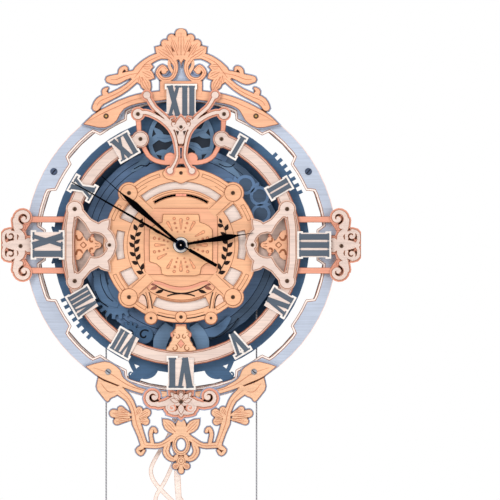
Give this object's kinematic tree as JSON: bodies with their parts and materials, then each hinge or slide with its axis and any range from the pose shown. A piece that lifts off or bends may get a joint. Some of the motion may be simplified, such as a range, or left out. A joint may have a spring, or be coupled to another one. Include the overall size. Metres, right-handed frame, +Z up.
{
  "type": "pendulum wall clock",
  "caption": "Weight-driven wall clock of laser-cut plywood: pierced dial and gear train in a ring frame with crown and base ornament, hands, vine pendulum, and a weight and counterweight.",
  "frame": {"origin": "hanging point on the rear face of the rear frame, above the keyhole and 112 mm above the hub", "axes": "+Z up, +Y into the wall, -Y out of the dial towards the viewer, +X to the viewer's right"},
  "size_m": [0.2954, 0.0623, 0.6889],
  "materials": {
    "dark_blue_plywood": "matt painted plywood",
    "mid_blue_plywood": "matt painted plywood",
    "lavender_plywood": "matt painted plywood",
    "cream_plywood": "matt painted plywood",
    "salmon_plywood": "matt painted plywood",
    "orange_plywood": "matt stained plywood",
    "tan_plywood": "matt stained plywood",
    "white_plywood": "matt painted plywood",
    "bob_blue_plywood": "matt painted plywood",
    "column_wood": "matt stained wood",
    "black_card": "matt black",
    "brass": "satin",
    "cord": "matt"
  },
  "bodies": {
    "frame": {"rear_frame": "dark_blue_plywood", "middle_plate": "dark_blue_plywood", "inner_ring": "dark_blue_plywood", "front_frame": "lavender_plywood", "frame_pillar_1": "brass", "frame_pillar_2": "brass", "frame_pillar_3": "brass", "frame_pillar_4": "brass", "movement_pillar_1": "brass", "movement_pillar_2": "brass", "movement_pillar_3": "brass", "movement_pillar_4": "brass", "crown_backing": "lavender_plywood", "crown": "orange_plywood", "base_ornament": "orange_plywood", "base_scroll": "cream_plywood", "left_side_backing": "salmon_plywood", "right_side_backing": "salmon_plywood", "left_scroll": "cream_plywood", "right_scroll": "cream_plywood", "left_bracket": "cream_plywood", "right_bracket": "cream_plywood", "ring_backing": "salmon_plywood", "numeral_ring": "cream_plywood", "wishbone": "cream_plywood", "numeral_1": "white_plywood", "numeral_2": "white_plywood", "numeral_3": "white_plywood", "numeral_4": "white_plywood", "numeral_5": "white_plywood", "numeral_6": "white_plywood", "numeral_7": "white_plywood", "numeral_8": "white_plywood", "numeral_9": "white_plywood", "numeral_10": "white_plywood", "numeral_11": "white_plywood", "numeral_12": "white_plywood", "dial_base": "cream_plywood", "dial_frame": "tan_plywood", "left_cord": "cord", "drum_cord": "cord", "right_cord": "cord"},
    "drum": {"drum": "mid_blue_plywood"},
    "great_wheel": {"great_wheel": "mid_blue_plywood"},
    "first_arbor": {"first_arbor": "mid_blue_plywood"},
    "idler_wheel": {"idler_wheel": "mid_blue_plywood"},
    "minute_arbor": {"minute_arbor": "mid_blue_plywood", "minute_hand": "black_card"},
    "third_arbor": {"third_arbor": "mid_blue_plywood"},
    "seconds_arbor": {"seconds_arbor": "brass", "escape_wheel": "mid_blue_plywood", "second_hand": "black_card"},
    "motion_arbor": {"motion_arbor": "mid_blue_plywood"},
    "hour_wheel": {"hour_wheel": "mid_blue_plywood", "hour_hand": "black_card"},
    "pendulum": {"anchor": "mid_blue_plywood", "pendulum_rod": "cream_plywood", "pendulum_bob": "bob_blue_plywood"},
    "main_weight": {"main_weight": "column_wood"},
    "counterweight": {"counterweight": "column_wood"}
  },
  "joints": [
    {"name": "minute_turn", "type": "hinge", "parent": "frame", "child": "minute_arbor", "pos_m": [0, -0.03, -0.112], "axis": [0, 1, 0], "continuous": true},
    {"name": "great_wheel_turn", "type": "hinge", "parent": "frame", "child": "great_wheel", "pos_m": [0, -0.03, -0.112], "axis": [0, 1, 0], "continuous": true},
    {"name": "first_arbor_turn", "type": "hinge", "parent": "frame", "child": "first_arbor", "pos_m": [-0.0924, -0.03, -0.112], "axis": [0, 1, 0], "continuous": true},
    {"name": "idler_turn", "type": "hinge", "parent": "frame", "child": "idler_wheel", "pos_m": [-0.04134, -0.03, -0.112], "axis": [0, 1, 0], "continuous": true},
    {"name": "third_arbor_turn", "type": "hinge", "parent": "frame", "child": "third_arbor", "pos_m": [0, -0.03, -0.076], "axis": [0, 1, 0], "continuous": true},
    {"name": "seconds_turn", "type": "hinge", "parent": "frame", "child": "seconds_arbor", "pos_m": [0, -0.03, -0.112], "axis": [0, 1, 0], "continuous": true},
    {"name": "motion_turn", "type": "hinge", "parent": "frame", "child": "motion_arbor", "pos_m": [0, -0.03, -0.136], "axis": [0, 1, 0], "continuous": true},
    {"name": "hour_turn", "type": "hinge", "parent": "frame", "child": "hour_wheel", "pos_m": [0, -0.03, -0.112], "axis": [0, 1, 0], "continuous": true},
    {"name": "pendulum_swing", "type": "hinge", "parent": "frame", "child": "pendulum", "pos_m": [0, -0.03, -0.212], "axis": [0, 1, 0], "range_deg": [-2.5, 2.5]},
    {"name": "main_weight_slide", "type": "slide", "parent": "frame", "child": "main_weight", "axis": [0, 0, 1], "range_m": [-0.24, 0.06], "deforming": ["left_cord"]},
    {"name": "counterweight_slide", "type": "slide", "parent": "frame", "child": "counterweight", "axis": [0, 0, 1], "range_m": [-0.06, 0.24], "deforming": ["right_cord"]},
    {"name": "drum_turn", "type": "hinge", "parent": "frame", "child": "drum", "pos_m": [0, -0.03, -0.112], "axis": [0, 1, 0], "range_deg": [-222.5, 56]}
  ],
  "couplings": [
    {"joint": "great_wheel_turn", "follows": "minute_turn", "ratio": -0.083333},
    {"joint": "first_arbor_turn", "follows": "minute_turn", "ratio": 0.5},
    {"joint": "idler_turn", "follows": "minute_turn", "ratio": -0.30769},
    {"joint": "third_arbor_turn", "follows": "minute_turn", "ratio": -10},
    {"joint": "seconds_turn", "follows": "minute_turn", "ratio": 60},
    {"joint": "motion_turn", "follows": "minute_turn", "ratio": -0.33333},
    {"joint": "hour_turn", "follows": "minute_turn", "ratio": 0.083333},
    {"joint": "counterweight_slide", "follows": "main_weight_slide", "ratio": -1},
    {"joint": "drum_turn", "follows": "main_weight_slide", "rad_per_m": 16.129}
  ]
}
